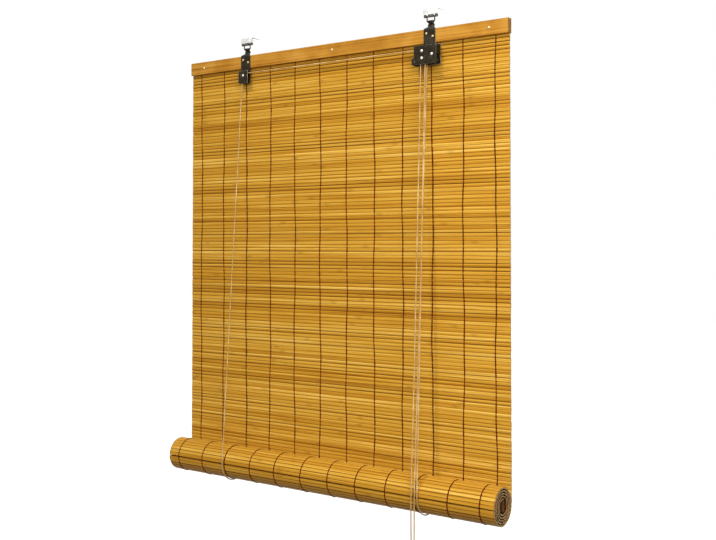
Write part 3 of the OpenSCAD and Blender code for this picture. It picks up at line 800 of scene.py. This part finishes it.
def slat_form(layer, width):
    """Points of one slat: shorter, thinner, narrower and bowed by chance; its tips keep their width."""
    points = pattern_points.copy()
    bow = math.tau * random.random()
    wave = np.sin(points[:, 0] / slat_long * math.tau * random.uniform(*BOW_WAVES) + bow)
    points[:, 0] = points[:, 0] * (1 - random.random() * END_UNEVEN[layer] / slat_long)
    points[:, 1] = (points[:, 1] - slat_thick / 2) * random.uniform(*SLAT_THIN) + slat_thick / 2
    narrow = 1 - front_share * (1 - random.uniform(*SLAT_NARROW))
    narrow = narrow * np.where(at_tip, 1, width)
    points[:, 2] = points[:, 2] * narrow + front_share * wave * random.uniform(-SLAT_BOW, SLAT_BOW)
    return points


print(len(pattern_points), "points in one slat,", int(at_tip.sum()), "of them at its tips")

# %% [markdown]
# The tone, the fibre seed and the painted shade are stored on a slat's points, and the material
# reads them there. Shade is painted in the grooves between slats. On some slats the lower half is
# painted darker, as the shade of a slat that stands open, so a wider and darker line shows. On the
# roll, shade is painted near the cut ends too, darkest on the inner turns.

# %% Marks on a slat
# Painted shade in the grooves and at the ends, from 0 for none to 1 for all, and the share of the way
# from a slat's middle line to its edge at which the shade starts.
GROOVE_SHADE = {"mat": (0.3, 0.85), "outer": (0.7, 1.0), "inner": (0.6, 1.0)}
GROOVE_START = {"mat": 0.82, "outer": 0.76, "inner": 0.82}
# Shade painted at the ends: none on the hanging mat, most on the roll's inner turns.
TIP_SHADE = {"mat": 0.0, "outer": 0.5, "inner": 0.95}
# Share of slats whose lower half is painted darker, as the shade of a slat that stands open, with
# the start and the strength of that shade.
LOWER_SHADE_SHARE = {"mat": 0.24, "outer": 0.35, "inner": 0.0}
LOWER_SHADE_START = {"mat": 0.35, "outer": 0.58, "inner": 0.58}
LOWER_SHADE_STRENGTH = 1.0
SEED_REACH = 10
AT_END = 0.499
edge_share = np.abs(pattern_points[:, 2]) / (SLAT_HIGH / 2)
lower_half = pattern_points[:, 2] < 0
at_end = np.abs(pattern_points[:, 0]) > slat_long * AT_END


def slat_marks(layer, tone):
    """What the material reads on each point of one slat: its tone, fibre seed and painted shade."""
    count = len(pattern_points)
    start = np.full(count, GROOVE_START[layer])
    least_shade = np.zeros(count)
    if random.random() < LOWER_SHADE_SHARE[layer]:
        start[lower_half] = LOWER_SHADE_START[layer]
        least_shade[lower_half] = LOWER_SHADE_STRENGTH
    edge_depth = np.clip((edge_share - start) / (1 - start), 0, 1)
    seed = random.random() * SEED_REACH
    stain_and_shade = np.maximum(least_shade, random.uniform(*GROOVE_SHADE[layer]))
    ends = at_tip if layer == "inner" else at_end
    groove_shade = np.maximum(edge_depth * stain_and_shade, ends * TIP_SHADE[layer])
    return {"tone": np.full(count, tone), "seed": np.full(count, seed), "groove_shade": groove_shade}


# These points are the lower half, where the wider painted shade goes.
print(int(lower_half.sum()), "points of a slat can stand open")

# %% The hanging slats
SLAT_TILT = math.radians(1.6)
TONE_SPREAD = 0.085


def slat_copy(index, y, z, angle, tone, layer="mat", width=1.0):
    """One slat of its own form, turned by an angle about X and put in its place in a layer."""
    points = slat_form(layer, width)
    turn = angle + random.uniform(-SLAT_TILT, SLAT_TILT)
    side = points[:, 1].copy()
    points[:, 1] = y + side * math.cos(turn) - points[:, 2] * math.sin(turn)
    points[:, 2] = z + side * math.sin(turn) + points[:, 2] * math.cos(turn)
    mesh = slat_pattern.data.copy()
    mesh.vertices.foreach_set("co", points.ravel())
    for name, value in slat_marks(layer, tone).items():
        mesh.attributes.new(name, "FLOAT", "POINT").data.foreach_set("value", value)
    return add_object(f"slat_{index}", mesh)


def join(parts, name):
    """Join objects into one, as Object > Join does."""
    pick_only(parts[0])
    for part in parts:
        part.select_set(True)
    bpy.ops.object.join()
    made = bpy.context.object
    made.name = name
    return made


slat_count = round((rail_foot - mat_low.z) / SLAT_PITCH)
tones = [random.gauss(0, TONE_SPREAD) for _ in range(slat_count)]
slats = [slat_copy(index, mat_middle_y, rail_foot - (index + 0.5) * SLAT_PITCH, 0, tone)
         for index, tone in enumerate(tones)]
mat = hang(join(slats, "hanging_slats"))
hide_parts("hanging_mat")
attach(mat, "head")
shorten(mat)
print(slat_count, "hanging slats,", len(mat.data.polygons), "faces")

# %% [markdown]
# The roll is the same mat wound to the front on a spiral, so the slats' window side is outside.
# One gap has opened along the front, where two narrower slats have slipped apart. The slats' ends
# aren't flush.

# %% The spiral of the roll
ROLL_STEP = 4.8265 * MM
ROLL_SLATS = 101
outer_turn = mat_middle_y - roll_centre.y


def wound(length):
    """Angle on the spiral after a length of mat."""
    return math.tau / ROLL_STEP * (outer_turn - math.sqrt(outer_turn**2 - ROLL_STEP * length / math.pi))


def on_roll(length, out=0.0):
    """Place on the spiral after a length of mat, moved outwards, and the angle there."""
    angle = wound(length)
    radius = outer_turn - ROLL_STEP * angle / math.tau + out
    return roll_centre.y + radius * math.cos(angle), roll_centre.z - radius * math.sin(angle), angle


print(ROLL_SLATS, "slats in", round(wound(ROLL_SLATS * SLAT_PITCH) / math.tau, 2), "turns")

# %% The rolled slats
ROLL_SLAT_WIDTH = (0.86, 0.97)
ROLL_TONE = -0.03
ROLL_TONE_SPREAD = 0.09
OUTER_TURN_SLATS = 34
SEAM_AFTER = 14
SEAM_WIDTH = 0.83
SEAM_SLIP = {SEAM_AFTER: -0.6 * MM, SEAM_AFTER + 1: 0.6 * MM}

slats = []
for index in range(ROLL_SLATS):
    y, z, angle = on_roll((index + 0.5) * SLAT_PITCH + SEAM_SLIP.get(index, 0))
    tone = random.gauss(ROLL_TONE, ROLL_TONE_SPREAD)
    width = random.uniform(*ROLL_SLAT_WIDTH)
    if index in SEAM_SLIP:
        width = SEAM_WIDTH
    layer = "inner" if index > OUTER_TURN_SLATS else "outer"
    slats.append(slat_copy(index, y, z, -angle, tone, layer, width))
roll = hang(join(slats, "rolled_slats"))
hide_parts("mat_roll")
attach(roll, "roll")
bpy.data.objects.remove(slat_pattern)
print(len(roll.data.polygons), "faces in the roll")

# %% [markdown]
# ## Binding threads
# Two dark threads bind the slats at each warp line. They cross in every gap, so one of them is
# in front of a slat while the other is behind it. That crossing makes the beaded look.

# %% Material of the threads
# The fluff is drawn coarser than real, so that it shows.
THREAD_FLUFF = 0.8 * MM


def mottled(name, patch_size, stops, relief=0.0, **sockets):
    """A finish that drifts between hex stops in patches of a real size, raised by a relief if given."""
    material, tree, shader = start_material(name, **sockets)
    place = add_node(tree, "TexCoord")
    patch = add_node(tree, "TexNoise", {}, {"Vector": place.outputs["Object"], "Scale": 1 / patch_size})
    ramp = add_node(tree, "ValToRGB", {}, {"Fac": patch.outputs["Fac"]})
    set_stops(ramp, stops)
    tree.links.new(ramp.outputs["Color"], shader.inputs["Base Color"])
    if relief:
        bump = add_node(tree, "Bump", {}, {
            "Height": patch.outputs["Fac"], "Strength": 0.5, "Distance": relief})
        tree.links.new(bump.outputs["Normal"], shader.inputs["Normal"])
    return material


# Dyed cotton: dull dark brown, a little redder where its fluff catches light.
bound_thread = mottled("brown_cotton_thread", THREAD_FLUFF, [(0.3, "#441600"), (0.7, "#743009")],
                       Roughness=0.9, Specular_IOR_Level=0.1)
print("made", bound_thread.name)

# %% Twining two threads
WARPS = 12
WARP_INSET = 29.5 * MM
# Drawn thicker than sewing thread, because two soft plies are pressed flat over each slat.
THREAD_R = 1.55 * MM
# Share of a slat's pitch in which a thread passes from one face to the other.
CROSSING = 0.1
THREAD_SWAY = 2 * MM
# Strength of each wave in a warp line, its length along the mat for one radian, and its shift for
# each metre across.
SWAY_WAVES = ((1.0, 70 * MM, 40), (0.5, 21 * MM, 90))
warp_places = np.linspace(mat_low.x + WARP_INSET, mat_high.x - WARP_INSET, WARPS)


def sway(x, length):
    """How far a warp line wanders sideways at a length of mat."""
    waves = [strength * math.sin(length / reach + x * shift) for strength, reach, shift in SWAY_WAVES]
    return THREAD_SWAY * sum(waves) / sum(strength for strength, _, _ in SWAY_WAVES)


def twine(x, slats, proud, place):
    """Two crossing threads, this proud of the mat's middle; place(length, out) gives Y, Z and an angle."""
    lines = []
    for first in (-1, 1):
        points = []
        for index in range(slats):
            side = first if index % 2 else -first
            for share, out in ((0.0, 0.0), (CROSSING, proud), (1 - CROSSING, proud)):
                length = (index + share) * SLAT_PITCH
                y, z, _ = place(length, side * out)
                points.append(Vector((x + sway(x, length), y, z)))
        lines.append(points)
    return lines


print(WARPS, "warp lines, about", round((warp_places[1] - warp_places[0]) / MM), "mm apart")

# %% Threads of the hanging mat
THREAD_SINK = 0.6 * MM


def thread_piece(name, lines):
    """Thin round threads along lines of points, joined and leaned."""
    parts = []
    for points in lines:
        part = new_curve(name, points)
        part.data.bevel_depth = THREAD_R
        part.data.bevel_resolution = 0
        parts.append(to_mesh(part))
        bpy.ops.object.shade_smooth()
    made = join(parts, name)
    dress(made.data, bound_thread)
    return hang(made)


def on_mat(length, out=0.0):
    """Place on the hanging mat after a length of mat, moved to the back, and the angle there."""
    return mat_middle_y + out, rail_foot - length, 0


lines = [line for x in warp_places
         for line in twine(x, slat_count, slat_thick / 2 - THREAD_SINK, on_mat)]
threads = thread_piece("twined_warp_threads", lines)
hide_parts("warp_threads")
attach(threads, "head")
shorten(threads)
print(len(lines), "threads,", len(threads.data.polygons), "faces")

# %% Threads round the roll
ROLL_THREAD_SLATS = 33
ROLL_THREAD_SINK = 0.05 * MM

lines = [line for x in warp_places
         for line in twine(x, ROLL_THREAD_SLATS, slat_thick / 2 - ROLL_THREAD_SINK, on_roll)]
roll_threads = thread_piece("twined_roll_threads", lines)
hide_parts("roll_threads")
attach(roll_threads, "roll")
print(len(roll_threads.data.polygons), "faces of thread on the roll")

# %% [markdown]
# ## Metal and nylon
# The straps and covers are sheet steel with a black enamel that has a fine rough speckle. The
# screws and rivets are plated bright, the ceiling plates are pale zinc and the links are dark wire.
# The sheaves are moulded from white nylon. No finish is one flat colour: each drifts a little.

# %% Materials of the sheet steel
# Speckle and plating patches are drawn coarser than real, so that they show.
SPECKLE = 0.9 * MM
SPECKLE_DEPTH = 0.15 * MM
ZINC_SPANGLE = 7 * MM
PLATING_PATCH = 1.6 * MM

# Nearly black with a soft gloss, and pale grains that catch the light.
black_enamel = mottled("black_enamelled_steel", SPECKLE, [
    (0.42, "#090601"), (0.60, "#201806"), (0.70, "#84744c")],
    SPECKLE_DEPTH, Roughness=0.5, IOR=1.5, Specular_IOR_Level=0.14)
# Grey metal that glints along an edge where the enamel has worn off.
worn_enamel = mottled("worn_enamel_edge", PLATING_PATCH, [(0.35, "#928c7e"), (0.65, "#bcb6a8")],
                      Metallic=1.0, Roughness=0.4)
# A pale cool mirror, blurred, with wide soft spangles.
zinc = mottled("zinc_plated_sheet", ZINC_SPANGLE, [(0.35, "#d0d0cc"), (0.60, "#f2f2f0")],
               Metallic=1.0, Roughness=0.3)
# Dull dark grey metal: bare steel on the plates' cut edges, and painted shade on their curl and on the
# faces that look sideways.
bare_edge_and_shade = mottled("bare_steel_edge_and_shade", PLATING_PATCH, [(0.35, "#4c4840"), (0.65, "#6c6860")],
                    Metallic=1.0, Roughness=0.5)
print("made", ", ".join(made.name for made in (black_enamel, worn_enamel, zinc, bare_edge_and_shade)))

# %% Materials of the small parts
NYLON_CLOUD = 3 * MM

# Bright warm silver on turned rivets.
nickel = mottled("nickel_plated_steel", PLATING_PATCH, [(0.35, "#c4c0b4"), (0.65, "#dedad0")],
                 Metallic=1.0, Roughness=0.3)
# Straw-coloured metal on wood screws.
chromate = mottled("yellow_chromated_steel", PLATING_PATCH, [(0.35, "#ae9464"), (0.65, "#cab284")],
                   Metallic=1.0, Roughness=0.4)
# Dark wire with a dull glint.
dark_wire = mottled("blackened_steel_wire", PLATING_PATCH, [(0.35, "#221e1a"), (0.65, "#38332e")],
                    Metallic=1.0, Roughness=0.45)
# Milky white with a satin gloss and faint clouds from moulding.
nylon = mottled("moulded_white_nylon", NYLON_CLOUD, [(0.35, "#dedace"), (0.65, "#ece8dc")],
                Roughness=0.45, IOR=1.53)
print("made", ", ".join(made.name for made in (nickel, chromate, dark_wire, nylon)))

# %% [markdown]
# Laths, screws, rivets, links and sheaves are right as they come from the model, so they only get
# their materials.

# %% Finish the parts that stay
finishes = {
    nickel: ("pulley_rivet", "lock_rivets", "lock_cam"),
    chromate: ("rail_screws", "strap_screws"),
    dark_wire: ("left_link", "right_link", "cord_staples"),
    nylon: ("left_sheave", "rear_lock_sheave", "front_lock_sheave"),
    lath_bamboo: ("front_lath", "rear_lath"),
    shaded_core_bamboo: ("bottom_lath",),
}
for material, names in finishes.items():
    for name in names:
        dress(frame["nodes"][name].data, material)
print(sum(len(names) for names in finishes.values()), "parts finished as they come")

# %% [markdown]
# Pressed sheet never has razor edges. The straps, covers and plates are copied from the model and
# get a small bevel on every sharp edge. The coat is thin there, so bare steel shows through. On the
# plates, the tight curl that carries a link and the faces that look sideways are painted dark grey as
# shade.

# %% Sheet parts with softened edges
SHEET_EDGE = 0.45 * MM
SHEET_CREASE = math.radians(40)
WELD = 0.005 * MM
FLAT_ANGLE = math.radians(1)
EDGE_AND_SHADE_SLOT = 1
CURL_TOP = -10.8 * MM


def soften(name, material, edge_material, body, cut_z=None):
    """A copy of a sheet part with bevelled edges, in place of the part, with a cut at a height if given."""
    mesh = frame["nodes"][name].data.copy()
    dress(mesh, material, edge_material)
    made = add_object(name + "_pressed", mesh)
    pick_only(made)
    bpy.ops.object.mode_set(mode="EDIT")
    bpy.ops.mesh.select_all(action="SELECT")
    bpy.ops.mesh.remove_doubles(threshold=WELD)
    bpy.ops.mesh.dissolve_limited(angle_limit=FLAT_ANGLE)
    if cut_z is not None:
        cut_all((0, 0, cut_z), (0, 0, 1))
    bpy.ops.object.mode_set(mode="OBJECT")
    edge = made.modifiers.new("edge", "BEVEL")
    edge.width = SHEET_EDGE
    edge.segments = 2
    edge.material = EDGE_AND_SHADE_SLOT
    edge.limit_method = "ANGLE"
    edge.angle_limit = SHEET_CREASE
    bpy.ops.object.modifier_apply(modifier="edge")
    bpy.ops.object.shade_smooth_by_angle(angle=SHEET_CREASE)
    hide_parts(name)
    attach(made, body)
    return made


for name in ("left_strap", "right_strap", "pulley_cover", "lock_cover"):
    soften(name, black_enamel, worn_enamel, "head")
for name in ("left_plate", "right_plate"):
    plate = soften(name, zinc, bare_edge_and_shade, "ceiling_plates", CURL_TOP)
    # Painted shade: the curl below CURL_TOP and the faces that look sideways get the dark grey steel.
    for face in plate.data.polygons:
        if face.center.z < CURL_TOP or abs(face.normal.x) > FACING:
            face.material_index = EDGE_AND_SHADE_SLOT
print("six sheet parts softened")

# %% [markdown]
# ## Tidy up
# The section that shaped the cords is removed.

# %% Remove the cord section
bpy.data.objects.remove(cord_section)
